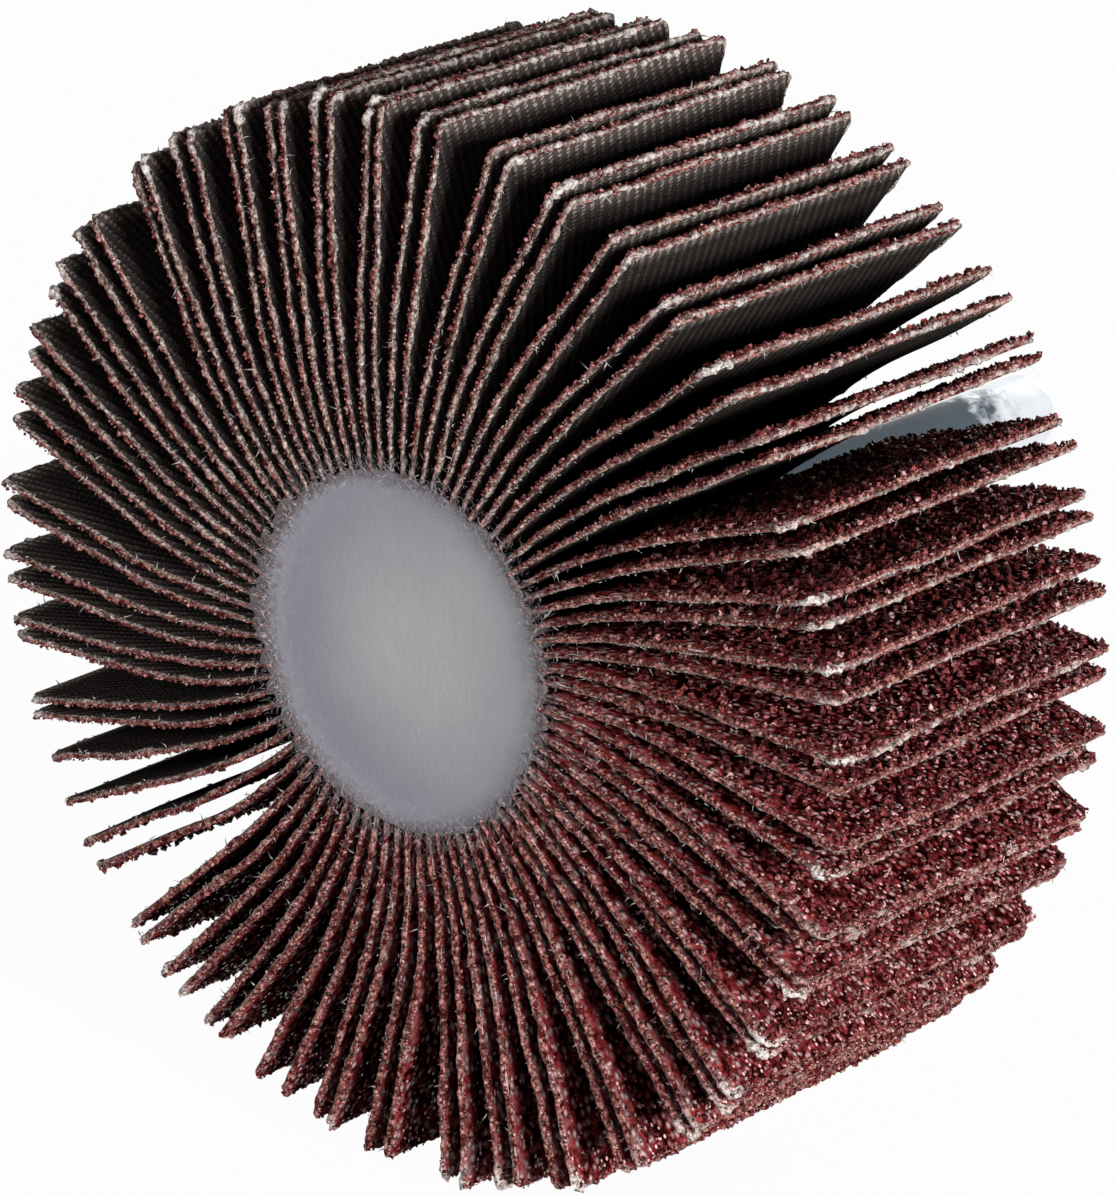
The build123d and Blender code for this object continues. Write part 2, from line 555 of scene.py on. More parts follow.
def loose_grain_material(look):
    """Single grains along the edges: each has its own tone, from near black to worn pink."""
    material, nodes, shader = new_material("loose_grains", roughness=0.5, specular=0.1)
    colour = nodes.ramp(
        nodes.mask("tone"),
        [
            (0.0, look.grit_colour, 0.06),
            (0.3, look.grit_colour, 0.55),
            (0.6, look.loose_grit_colour, 1.0),
            (0.85, look.worn_and_painted_glint_colour, 1.05),
        ],
    )
    place = nodes.millimetres()
    stains = nodes.range(nodes.noise(place, 4.5, 2.0), 0.4, 0.62)
    nodes.feed(shader["Base Color"], nodes.mix(stains, colour, shade(look.grit_colour, 0.12)))
    nodes.feed(shader["Normal"], bump(nodes, nodes.noise(place, 5.0, 2.0), 0.25 * MM))
    return material


def lint_material(look):
    """Loose cotton ends, in lighter and darker greys."""
    material, nodes, shader = new_material("lint", roughness=0.9)
    colour = nodes.mix(nodes.mask("tone"), shade(look.lint_colour, 0.25), shade(look.lint_colour, 0.65))
    nodes.feed(shader["Base Color"], colour)
    shader["Sheen Weight"].default_value = 0.2
    return material


def fuzz_material(look):
    """Fluff caught in the core's border: from dark grey to the colour of the resin smear."""
    material, nodes, shader = new_material("border_fuzz", roughness=0.9, specular=0.0)
    stops = [(place, look.smear_colour, amount) for place, amount in ((0.0, 0.2), (0.6, 0.5), (1.0, 1.1))]
    nodes.feed(shader["Base Color"], nodes.ramp(nodes.mask("tone"), stops))
    return material


def resin_material(look):
    """The core's cast face: matt grey, bluer towards its rim and darker there as painted shade, with a ragged
    dark border.

    A painted light shift moves the pale middle to the right and up, and the border a little with it, so that
    the left and bottom are painted darker.
    """
    material, nodes, shader = new_material("cast_resin", roughness=0.62, specular=0.1)
    place = nodes.millimetres()
    split = nodes.node("ShaderNodeSeparateXYZ", {"Vector": place}).outputs
    squares = [nodes.maths("POWER", split[axis], 2.0) for axis in ("X", "Z")]
    radius = nodes.maths("SQRT", nodes.plus(*squares))
    # Painted light: the pale middle of the face is moved to the right and up.
    painted_light_slope = nodes.plus(nodes.times(split["X"], 0.3), nodes.times(split["Z"], 0.12))
    middle = nodes.minus(radius, painted_light_slope)
    cloud = nodes.centred(nodes.noise(place, 0.16, 2.0), 5.0)
    rim = CORE_RADIUS / MM
    share = nodes.range(nodes.plus(middle, cloud), 0.1 * rim, rim)
    # Painted shade: the face gets darker towards its rim, and bluer.
    colour = nodes.mix(share, look.face_colour, look.rim_tint_and_painted_shade_colour)
    ragged = nodes.plus(middle, nodes.times(nodes.noise(place, 2.4, 3.0, 0.8), 3.6))
    # The dark border reaches further in on the left and bottom with the painted light shift, as painted
    # shade.
    ragged = nodes.plus(ragged, nodes.times(painted_light_slope, 0.85))
    fuzz = nodes.range(ragged, rim + 1.0, rim + 2.6)
    skirt = nodes.plus(radius, nodes.times(nodes.noise(place, 3.2, 2.0), 1.6))
    fuzz = nodes.maths("MAXIMUM", fuzz, nodes.range(skirt, rim + 0.3, rim + 1.1))
    specks = nodes.range(nodes.noise(place, 4.0, 3.0, 0.7), 0.5, 0.7, 0.0, 0.22)
    specks = nodes.times(specks, nodes.range(ragged, rim - 1.5, rim + 0.5))
    colour = nodes.mix(specks, colour, shade(look.face_colour, 1.35))
    colour = nodes.mix(nodes.times(fuzz, 0.85), colour, look.face_border_colour)
    nodes.feed(shader["Base Color"], colour)
    grain = nodes.plus(nodes.noise(place, 2.2, 4.0), nodes.noise(place, 0.5, 2.0))
    nodes.feed(shader["Normal"], bump(nodes, grain, 0.035 * MM))
    return material


def zinc_material(look):
    """The spindle: a painted dark reflection near the wheel, dark and less metallic, bright zinc at the free
    end, and faint turning lines.

    The two meet along a line that the blotches make uneven.
    """
    material, nodes, shader = new_material("zinc_plate")
    place = nodes.millimetres()
    blotches = nodes.noise(place, 0.6, 4.0, 0.6)
    along = nodes.node("ShaderNodeSeparateXYZ", {"Vector": place}).outputs["Y"]
    # Painted reflection: the shank is painted dark and less metallic near the wheel, where it would mirror
    # the dark wheel.
    painted_reflection_place = nodes.plus(along, nodes.centred(blotches, 12.0))
    reach = SHANK_REACH / MM
    bright = nodes.range(painted_reflection_place, 0.78 * reach, 0.88 * reach)
    nodes.feed(shader["Base Color"], nodes.mix(bright, look.painted_dark_reflection_colour, look.metal_colour))
    nodes.feed(shader["Metallic"], nodes.range(bright, 0.0, 1.0, 0.35, 1.0))
    nodes.feed(shader["Roughness"], nodes.range(blotches, 0.3, 0.7, 0.1, 0.3))
    lines = nodes.maths("SINE", nodes.times(along, 2 * math.pi / 0.35))
    height = nodes.plus(nodes.times(lines, 0.3), blotches)
    nodes.feed(shader["Normal"], bump(nodes, height, 0.01 * MM))
    return material


# Flaps


class Flap:
    """The middle surface of one flap, as the part's source has it: a bend from the core, then a straight tip.

    The bend's two tangents are equally long, one on the root's radius and one on the straight tip's line.
    s runs along the flap from the core's surface, n across its thickness from the coated side to the bare
    side, and w back from its front edge.
    """

    def __init__(self, number, root_angle, tip):
        self.seed = 17.0 * number
        self.outward = np.array([math.sin(root_angle), 0, math.cos(root_angle)])
        self.clockwise = np.array([math.cos(root_angle), 0, -math.sin(root_angle)])
        run = tip @ self.outward - CORE_RADIUS
        rise = tip @ self.clockwise
        self.angle = 2 * math.atan2(rise, run + STRAIGHT_TIP)
        tangent = rise / math.sin(self.angle) - STRAIGHT_TIP
        self.radius = tangent / math.tan(self.angle / 2)
        self.bend = self.radius * self.angle
        self.length = self.bend + STRAIGHT_TIP

    def noise(self, s, n, w, size, kind=smooth_noise):
        """This flap's own noise: smooth_noise, or grain_noise where that is asked for."""
        place = np.stack(np.broadcast_arrays(s, n, w), axis=-1) + self.seed * MM
        return kind(place, size, self.seed)

    def at(self, s, n, w):
        """Points of the wheel: the middle line at s, moved n along its normal, and w back from the front."""
        s, n, w = np.broadcast_arrays(s, n, w)
        turned = np.clip(s, 0, self.bend) / self.radius
        past = np.clip(s - self.bend, 0, None) + np.clip(s, None, 0)
        ripple = self.noise(s, 0 * s, w, size=6.5 * MM) * 0.16 * MM * smoothstep(1 * MM, 12 * MM, s)
        n = n + ripple
        x = CORE_RADIUS + (self.radius - n) * np.sin(turned) + past * np.cos(turned)
        y = self.radius - (self.radius - n) * np.cos(turned) + past * np.sin(turned)
        place = x[..., None] * self.outward + y[..., None] * self.clockwise
        place[..., 1] = FLAP_FRONT + w
        return place


def find_flaps():
    """Each pair's two flaps, from the pair's own solid.

    The ends of its tips' flat edges stand one corner cut behind the front. Going clockwise they are the
    coated and the bare side of the first flap, then those of the second, and each flap's tip is halfway
    between its two.
    """
    pairs = []
    for index, name in enumerate(flap_nodes):
        points = node_points(name)
        points = points[np.abs(points[:, 1] - FLAP_FRONT - CORNER_CUT) < 0.02 * MM]
        points = np.unique(np.round(points / MM, 3), axis=0) * MM
        points = points[np.hypot(points[:, 0], points[:, 2]) > 2 * CORE_RADIUS]
        middle = points.mean(axis=0)
        middle_angle = math.atan2(middle[0], middle[2])
        angles = np.arctan2(points[:, 0], points[:, 2]) - middle_angle
        ordered = points[np.argsort((angles + math.pi) % (2 * math.pi) - math.pi)]
        if len(ordered) != 4:
            raise RuntimeError(f"{name} has {len(ordered)} tip corners, and not 4")
        flaps = []
        for side, tip in enumerate((ordered[:2].mean(axis=0), ordered[2:].mean(axis=0))):
            root_angle = first_root_angle() + (2 * index + side) * FLAP_PITCH
            flaps.append(Flap(2 * index + side, root_angle, tip))
        pairs.append((name, flaps))
    return pairs


def first_root_angle():
    """The first flap's root angle, clockwise from straight up: half a pitch before its pair's tongues."""
    points = node_points(flap_nodes[0])
    seat = points[np.hypot(points[:, 0], points[:, 2]) < CORE_RADIUS - 0.9 * TONGUE_DEPTH]
    return float(np.mean(np.arctan2(seat[:, 0], seat[:, 2]))) - FLAP_PITCH / 2


def add_blade(shell, flap, size):
    """The flap's body: a flat ring of points round its thickness, carried from core to tip and capped.

    Near the tip the ring narrows as a quarter circle does, so that the corners are rounded.
    """
    inset = 0.15 * MM
    cut = CORNER_CUT
    end = flap.length - inset
    to_tip = np.array([2.0, 1.0, 0.6, 0.3, 0.08, 0.0]) * MM
    s = np.concatenate([np.linspace(0, end - 3 * MM, 14), end - to_tip])
    rows = len(s)
    past = np.clip(s - (end - cut), 0, cut)
    trim = inset + cut - np.sqrt(cut**2 - past**2)
    share = np.array([0, 0.025, 0.05, 0.08, 0.25, 0.5, 0.75, 0.92, 0.95, 0.975, 1.0])
    columns = len(share)
    w = trim[:, None] + (FLAP_WIDTH - 2 * trim[:, None]) * share
    half = size.thickness / 2 - size.edge_round
    ring_w = np.concatenate([w, w[:, ::-1]], axis=1)
    from_side = np.minimum(ring_w, FLAP_WIDTH - ring_w)
    ring_n = np.concatenate([np.full(columns, -half), np.full(columns, half)])
    taper = 1 - 0.4 * smoothstep(0.9 * MM, 0.15 * MM, from_side)
    points = flap.at(s[:, None], ring_n * taper, ring_w)
    places = np.stack(np.broadcast_arrays(ring_w, s[:, None]), axis=-1) / MM
    faces = grid_faces(rows, 2 * columns, closed=True)
    column = np.tile(np.arange(2 * columns), rows - 1)
    on_bare_side = (column >= columns) & (column < 2 * columns - 1)
    material = np.where(column < columns - 1, 0, np.where(on_bare_side, 1, 2))
    near, far = np.arange(columns - 1), 2 * columns - 1 - np.arange(columns - 1)
    root_cap = np.stack([near, far, far - 1, near + 1], axis=-1)
    tip_cap = root_cap[:, ::-1] + (rows - 1) * 2 * columns
    faces = np.concatenate([faces, root_cap, tip_cap])
    material = np.concatenate([material, np.full(2 * (columns - 1), 2)])
    depth = np.tile(np.where(ring_n < 0, -1.0, 1.0), rows)
    from_tip = (flap.length - s)[:, None]
    side_wear = 0.3 * smoothstep(0.5 * MM, 0.2 * MM, from_side)
    frayed = np.maximum(smoothstep(2.0 * MM, 0.1 * MM, from_tip), side_wear)
    wear = np.where(ring_n < 0, smoothstep(6 * MM, 0, from_tip) + 0 * ring_w, frayed)
    # Painted light: a pale band on the coated side along the front edge, carried in the lint mask.
    painted_front_light = smoothstep(1.7 * MM, 0, ring_w) * (ring_n < 0)
    masks = {"depth": depth, "wear": wear.ravel(), "tone": flap.seed / 17, "lint": painted_front_light.ravel()}
    shell.add(points.reshape(-1, 3), faces[:, ::-1], material, places.reshape(-1, 2), **masks)
    tongue = np.array(list(itertools.product((-TONGUE_DEPTH, 0.2 * MM), (-half, half), (0, 1))))
    w = NOTCH_DEPTH + tongue[:, 2] * (FLAP_WIDTH - 2 * NOTCH_DEPTH)
    corners = [[0, 1, 3, 2], [4, 6, 7, 5], [0, 4, 5, 1], [2, 3, 7, 6], [0, 2, 6, 4], [1, 5, 7, 3]]
    shell.add(flap.at(tongue[:, 0], tongue[:, 1], w), corners, 2)


def edge_path(flap, step):
    """The flap's cut edge: up the front, round a corner, along the tip, round a corner, down the back.

    Returns s, w, the outward direction in s and w, and the distance along the path, at points about a step
    apart, and two steps apart on the back.
    """
    length, width, cut = flap.length, FLAP_WIDTH, CORNER_CUT
    turn = np.linspace(0, math.pi / 2, 7)
    first = np.stack([length - cut + cut * np.sin(turn), cut - cut * np.cos(turn)], axis=-1)
    second = np.stack([length - cut + cut * np.cos(turn), width - cut + cut * np.sin(turn)], axis=-1)
    corners = np.concatenate([[[0, 0]], first, second, [[0, width]]])
    along = np.concatenate([[0], np.cumsum(np.linalg.norm(np.diff(corners, axis=0), axis=1))])
    front = along[np.argmax(corners[:, 1] >= width)]
    stations = np.concatenate([
        np.linspace(0, front, round(front / step), endpoint=False),
        np.linspace(front, along[-1], round((along[-1] - front) / (2 * step))),
    ])
    s = np.interp(stations, along, corners[:, 0])
    w = np.interp(stations, along, corners[:, 1])
    ds, dw = np.gradient(s, stations), np.gradient(w, stations)
    size = np.hypot(ds, dw)
    return s, w, dw / size, -ds / size, stations


def add_edge(shell, flap, size, rng):
    """The cut edge as a lumpy bead: a flattened ring carried along the edge path.

    The ring's half thickness grows towards the tip and wanders. Grains are added to it on the coated side,
    thread ends on the bare side, and fluff on some front corners. A slow noise moves the bead in and out,
    so that the edge isn't a straight cut.
    """
    s, w, out_s, out_w, _ = edge_path(flap, size.edge_step)
    turn = np.radians([-120, -72, -24, 24, 72, 120])
    steps = len(turn)
    cos, sin = np.cos(turn), np.sin(turn)
    ring_out = np.sign(cos) * np.abs(cos) ** 0.8
    ring_n = np.sign(sin) * np.abs(sin) ** 0.8
    grow = smoothstep(GROW_FROM, GROW_TO, s)[:, None]
    slim = flap.noise(s, 0 * s + MM, w, size=1.7 * MM)[:, None]
    half = size.thickness * (0.175 + 0.05 * grow + 0.08 * slim)
    reach, inset, sway = 0.2 * MM, 0.17 * MM, 0.09 * MM
    base_s, base_w = s[:, None] + 0 * ring_n, w[:, None] + 0 * ring_n
    where_n = ring_n * half
    out = ring_out * reach
    grain_s, grain_w = base_s + out_s[:, None] * out, base_w + out_w[:, None] * out
    rough = flap.noise(grain_s, where_n, grain_w, size=0.45 * MM, kind=grain_noise)
    fine = flap.noise(base_s, where_n, base_w, size=0.33 * MM)
    slow = flap.noise(base_s, 0 * where_n, base_w, size=2.3 * MM)
    coated = smoothstep(0.3, -0.5, ring_n) + 0 * half
    bare = smoothstep(0.2, 0.8, ring_n) * np.clip(out_s, 0, 1)[:, None]
    rib = (base_w + size.rib_slant * base_s) / size.rib_pitch
    tufts = np.sin(math.pi * rib + math.pi / 4) ** 2 * bare * (0.5 + fine)
    lumps = (rough - 0.4) * (0.14 + 0.36 * coated) * MM + fine * 0.10 * MM + tufts * 0.16 * MM
    patch = smoothstep(0.35, 0.75, flap.noise(base_s, 0 * where_n, base_w, size=0.8 * MM))
    corner = np.hypot(s - flap.length, w) / MM
    fluff = smoothstep(2.3, 0.5, corner)[:, None] * rng.uniform(-0.5, 1.3)
    lumps = lumps * (0.6 + 0.4 * grow) + patch * 0.07 * MM + np.clip(fluff, 0, 1) * (0.08 + 0.3 * fine) * MM
    away = -inset + sway * slow + out + lumps * ring_out
    waver = 0.16 * MM * flap.noise(s, 0 * s - MM, w, size=2.2 * MM)[:, None]
    waver = waver + 0.07 * MM * flap.noise(s, 0 * s, w, size=0.8 * MM)[:, None]
    n = ring_n * half + lumps * ring_n * 0.7 + waver
    points = flap.at(base_s + out_s[:, None] * away, n, base_w + out_w[:, None] * away)
    rings = len(s)
    faces = grid_faces(rings, steps, closed=True)
    caps = np.array([[0, 1, 4, 5], [1, 2, 3, 4]])
    faces = np.concatenate([faces, caps[:, ::-1], caps + (rings - 1) * steps])
    at_tip = smoothstep(flap.length - 2 * MM, flap.length, s)[:, None]
    lint = patch * (0.2 * (ring_n > 0) + 0.5 * at_tip) + fluff
    lint = np.clip(lint + np.clip(2 * tufts, 0, 1) * rng.uniform(0.4, 1.0), 0, 1)
    smear = smoothstep(2.0, 0.2, s / MM + 1.2 * slow[:, 0])[:, None] + 0 * n
    places = np.stack([base_w, base_s], axis=-1).reshape(-1, 2) / MM
    blush = 0.4 * flap.noise(s, 0 * s + 2 * MM, w, size=1.9 * MM)[:, None] + 0 * n
    masks = {"depth": np.broadcast_to(ring_n, n.shape).ravel(), "lint": lint.ravel(), "smear": smear.ravel()}
    masks["tone"] = blush.ravel()
    smooth = np.tile(sin > -0.5, rings - 1)
    smooth = np.concatenate([smooth, np.zeros(2 * len(caps), bool)])
    shell.add(points.reshape(-1, 3), faces, 2, places, smooth, **masks)


def stones(centres, radii, rng):
    """Eight-sided stones with a corner on each half axis, each one stretched and turned its own way.

    Returns the points and three-cornered faces of all of them.
    """
    count = len(centres)
    shape = np.concatenate([np.eye(3), -np.eye(3)])
    faces = np.array([[0, 1, 2], [1, 3, 2], [3, 4, 2], [4, 0, 2], [1, 0, 5], [3, 1, 5], [4, 3, 5], [0, 4, 5]])
    turned = np.linalg.qr(rng.normal(size=(count, 3, 3)))[0]
    turned[:, 0] *= np.linalg.det(turned)[:, None]
    stretch = rng.uniform(0.7, 1.4, (count, 1, 3)) * radii[:, None, None]
    points = centres[:, None] + (shape * stretch) @ turned
    return points.reshape(-1, 3), (faces + len(shape) * np.arange(count)[:, None, None]).reshape(-1, 3)


def add_grains(shell, flap, size, rng):
    """Grit that stands out: stones along the coated side's edge, chips round it, and grains near the tip.

    Where the coated side faces up, more grains stand on it, and further from the tip.
    """
    s, w, out_s, out_w, stations = edge_path(flap, size.edge_step)
    half = size.thickness / 2 - size.edge_round
    for count, row, radius in (
        (size.stones_per_flap, True, size.stone_radius),
        (size.chips_per_flap, False, size.chip_radius),
    ):
        even = (np.arange(count) + rng.uniform(0, 1, count)) / count
        station = (0.03 + 0.97 * even ** 1.2) * stations[-1]
        near = np.clip(np.searchsorted(stations, station), 0, len(stations) - 1)
        behind = rng.uniform(-0.12, 0.32, count) if row else rng.uniform(-0.2, 1.0, count) ** 3 * 2.4
        if row:
            n = rng.uniform(-1.05, -0.5, count)
        else:
            n = np.where(behind > 0.25, -1.05, rng.uniform(-1.0, 0.6, count))
        grow = smoothstep(GROW_FROM, GROW_TO, s[near])
        centre_s = np.clip(s[near] - out_s[near] * behind * MM, 0.4 * MM, flap.length)
        centre_w = np.clip(w[near] - out_w[near] * behind * MM, 0, FLAP_WIDTH)
        clump = 0.75 + 0.45 * flap.noise(centre_s, 0 * centre_s, centre_w, size=1.6 * MM)
        radii = radius * rng.uniform(0.45, 1.25, count) * (0.6 + 0.4 * grow) * clump
        points, faces = stones(flap.at(centre_s, n * half, centre_w), radii, rng)
        tone = np.repeat(rng.beta(1.5, 2.4, count), len(points) // count)
        if row:
            shell.add(points, faces, 2, smooth=True, depth=-1.0, tone=0.5 - tone)
        else:
            shell.add(points, faces, 3, smooth=False, tone=tone)
    up = np.clip(flap.outward[2] * math.sin(flap.angle) - flap.clockwise[2] * math.cos(flap.angle), 0, 1)
    count = round(size.crumbs_per_flap * (0.3 + 2.7 * up ** 1.4))
    centre_s = flap.length - (0.3 + (6 + 13 * up) * rng.random(count) ** 1.4) * MM
    centre_w = rng.uniform(0.4 * MM, FLAP_WIDTH - 0.4 * MM, count)
    radii = size.chip_radius * rng.uniform(0.9, 2.3, count)
    points, faces = stones(flap.at(centre_s, -half - 0.45 * radii, centre_w), radii, rng)
    tone = np.repeat(0.12 + 0.88 * rng.beta(1.1, 2.1, count), len(points) // count)
    shell.add(points, faces, 3, smooth=False, tone=tone)


def add_fibres(shell, starts, directions, lengths, thickness, curls, tones, material, segments=4):
    """Thread ends: three-sided tubes that taper to a point and follow start + direction t + curl t^2."""
    count = len(starts)
    t = np.linspace(0, 1, segments + 1)[None, :, None]
    lines = starts[:, None] + (directions[:, None] * t + curls[:, None] * t**2) * lengths[:, None, None]
    side = unit(np.cross(directions, np.array([0.31, 0.77, 0.55])))
    other = unit(np.cross(directions, side))
    turn = np.arange(3) * 2 * math.pi / 3
    ring = side[:, None] * np.cos(turn)[None, :, None] + other[:, None] * np.sin(turn)[None, :, None]
    radius = thickness[:, None, None, None] * (1 - 0.75 * t[..., None] ** 2)
    points = lines[:, :-1, None] + ring[:, None] * radius[:, :-1]
    points = np.concatenate([points.reshape(count, -1, 3), lines[:, -1:]], axis=1)
    each = 3 * segments + 1
    sides = grid_faces(segments, 3, closed=True)
    triangles = np.concatenate([sides[:, [0, 1, 2]], sides[:, [0, 2, 3]]])
    last = 3 * (segments - 1)
    point = each - 1
    ends = [[last, last + 1, point], [last + 1, last + 2, point], [last + 2, last, point], [2, 1, 0]]
    triangles = np.concatenate([triangles, ends])
    faces = (triangles[None] + each * np.arange(count)[:, None, None]).reshape(-1, 3)
    shell.add(points.reshape(-1, 3), faces, material, tone=np.repeat(tones, each))


def add_threads(shell, flap, size, rng):
    """Cotton at the cut edge: short stubs of thread on its bare side, and fine frays that stand out of it."""
    s, w, out_s, out_w, stations = edge_path(flap, size.edge_step)
    for count, spread, least, most, thin, thick, reach, segments in (
        (size.stubs_per_flap, 0.8, 0.15, 0.5, 0.04, 0.08, 0.3, 2),
        (size.frays_per_flap, 1.4, 0.15, 0.6, 0.006, 0.012, 0.5, 4),
    ):
        station = (0.02 + 0.98 * rng.random(count) ** 1.2) * stations[-1]
        near = np.clip(np.searchsorted(stations, station), 0, len(stations) - 1)
        n = rng.uniform(-0.05, 0.42, count) * size.thickness
        base = flap.at(s[near] - 0.1 * MM * out_s[near], n, w[near] - 0.1 * MM * out_w[near])
        outer = unit(flap.at(s[near] + out_s[near] * MM, n, w[near] + out_w[near] * MM) - base)
        directions = outer * rng.uniform(0.1, 1.0, (count, 1)) * reach
        directions = unit(directions + rng.normal(size=(count, 3)) * spread * 0.6)
        curls = rng.uniform(-1.1, 1.1, (count, 3))
        lengths = (least + (most - least) * rng.random(count) ** 2.2) * MM
        thickness = rng.uniform(thin, thick, count) * MM
        add_fibres(shell, base, directions, lengths, thickness, curls, rng.random(count), 4, segments)


# Settings


def length_setting(label, hint, millimetres):
    return bpy.props.FloatProperty(name=label, description=hint, default=millimetres * MM, subtype="DISTANCE")


def angle_setting(label, hint, degrees):
    angle = math.radians(degrees)
    return bpy.props.FloatProperty(name=label, description=hint, default=angle, subtype="ANGLE")


def power_setting(label, hint, watts):
    return bpy.props.FloatProperty(name=label, description=hint, default=watts, subtype="POWER")


def plain_setting(label, hint, value):
    return bpy.props.FloatProperty(name=label, description=hint, default=value)


def count_setting(label, hint, number):
    return bpy.props.IntProperty(name=label, description=hint, default=number, min=1)


def colour_setting(label, hint, colour):
    inputs = {"default": (*colour, 1), "size": 4, "subtype": "COLOR"}
    return bpy.props.FloatVectorProperty(name=label, description=hint, **inputs)


class FlapSettings(bpy.types.PropertyGroup):
    """Sizes and colours of the coated cloth flaps"""

    thickness: length_setting("Thickness", "Cloth and grit together", 0.8)
    edge_round: length_setting("Edge round", "How much thinner the blade is than the flap, on each side", 0.1)
    edge_step: length_setting("Edge step", "Distance between rings of the cut edge", 0.33)
    stone_radius: length_setting("Stone radius", "Size of the grains along the coated side's edge", 0.235)
    chip_radius: length_setting("Chip radius", "Size of the smaller grains", 0.13)
    stones_per_flap: count_setting("Stones", "Grains along the coated side's edge of each flap", 230)
    chips_per_flap: count_setting("Chips", "Smaller grains on each flap", 160)
    crumbs_per_flap: count_setting("Standing grains", "Near each tip, 0.3 to 3 times this many", 330)
    stubs_per_flap: count_setting("Thread stubs", "Cut thread ends on each flap", 90)
    frays_per_flap: count_setting("Frays", "Fine loose cotton on each flap", 20)
    grains_per_mm: plain_setting("Grit density", "Grains per millimetre on the coated side", 1.7)
    rib_pitch: length_setting("Rib pitch", "Distance between the cloth's ribs", 0.9)
    rib_slant: plain_setting("Rib slant", "How far the ribs run across for each length along the flap", 0.5)
    stitch_pitch: length_setting("Stitch pitch", "Length of a stitch along a rib", 0.4)
    grit_colour: colour_setting("Grit", "Colour of the coated side", (0.23, 0.027, 0.030))
    # The colour of worn grains, and on the coated side also of painted highlights and glints.
    worn_and_painted_glint_colour: colour_setting("Worn grit", "Colour of worn grain tops", (0.62, 0.38, 0.37))
    loose_grit_colour: colour_setting("Loose grit", "Colour of freshly broken grains", (0.33, 0.085, 0.08))
    edge_colour: colour_setting("Cut grit", "Colour of grains on the cut edge", (0.36, 0.145, 0.125))
    cloth_colour: colour_setting("Cloth", "Colour of the bare cloth", (0.059, 0.0495, 0.046))
    thread_colour: colour_setting("Cut threads", "Colour of cut and worn threads", (0.41, 0.335, 0.297))
    lint_colour: colour_setting("Lint", "Colour of loose cotton", (0.52, 0.48, 0.45))
    smear_colour: colour_setting("Resin smear", "Colour of resin on roots and fluff", (0.25, 0.22, 0.23))


class CoreSettings(bpy.types.PropertyGroup):
    """Colours of the cast core"""

    # The middle is the face painted lit, and the face edge is bluer and painted darker as shade.
    face_colour: colour_setting("Face", "Middle of the core's face", (0.276, 0.274, 0.278))
    rim_tint_and_painted_shade_colour: colour_setting("Face edge", "Outer part of the core's face", (0.182, 0.179, 0.208))
    face_border_colour: colour_setting("Border", "Fuzzy border of the core's face", (0.092, 0.074, 0.074))
    frays: count_setting("Frays", "Cotton ends caught in the core's border", 3200)


class SpindleSettings(bpy.types.PropertyGroup):
    """Size and colour of the spindle"""

    end_radius: length_setting("End radius", "Rounding of the shank's free end", 0.9)
    # A painted dark reflection on the shank near the wheel.
    painted_dark_reflection_colour: colour_setting("Stain", "Colour of the dull plate near the wheel", (0.045, 0.062, 0.080))
    metal_colour: colour_setting("Zinc", "Colour of the plated steel", (0.82, 0.86, 0.90))


class StageSettings(bpy.types.PropertyGroup):
    """Light, floor and camera"""

    key_power: power_setting("Key light", "Power of the main light, to the right", 19.2)
    fill_power: power_setting("Fill light", "Power of the light in front", 6.5)
    back_power: power_setting("Back light", "Power of the light behind", 5.0)
    world_strength: plain_setting("World", "Strength of the even light from all round", 0.12)
    lens: plain_setting("Lens", "Focal length on a 36 mm sensor", 200.13)
    camera_distance: length_setting("Distance", "From the wheel's centre along the view", 480)
    camera_azimuth: angle_setting("Azimuth", "Turn of the view from straight on", 41.42)
    camera_elevation: angle_setting("Elevation", "Height of the view above level", 19.96)
    aim_right: length_setting("Aim right", "How far the view's axis passes right of the centre", 1.222)
    aim_up: length_setting("Aim up", "How far the view's axis passes above the centre", 0.061)


# Operators


class FLAPWHEEL_OT_add_spindle(bpy.types.Operator):
    """Turn the spindle: a shank with a rounded end, and the hexagonal anchor inside the core"""

    bl_idname = "flapwheel.add_spindle"
    bl_label = "Spindle"

    def execute(self, context):
        look = context.scene.spindle_settings
        end = look.end_radius
        turn = np.linspace(0, math.pi / 2, 9)
        corner = [SHANK_RADIUS - end + end * np.cos(turn), SHANK_REACH - end + end * np.sin(turn)]
        rounded = np.stack(corner, axis=-1)
        profile = np.concatenate([[[ON_AXIS, 0]], [[SHANK_RADIUS, 0]], rounded, [[ON_AXIS, SHANK_REACH]]])
        points, faces = lathe(profile, SHANK_STEPS)
        shell = Shell()
        shell.add(points, faces[:, ::-1], 0)
        corner = ANCHOR_ACROSS_FLATS / math.sqrt(3)
        profile = [[ON_AXIS, spindle_low.y], [corner, spindle_low.y], [corner, 0], [ON_AXIS, 0]]
        points, faces = lathe(profile, 6)
        turned = points @ np.array(Matrix.Rotation(math.pi / 6, 3, "Y"))
        shell.add(turned, faces[:, ::-1], 0, smooth=False)
        shell.piece("zinc_spindle", [zinc_material(look)], "steel", ["spindle"])
        return {"FINISHED"}


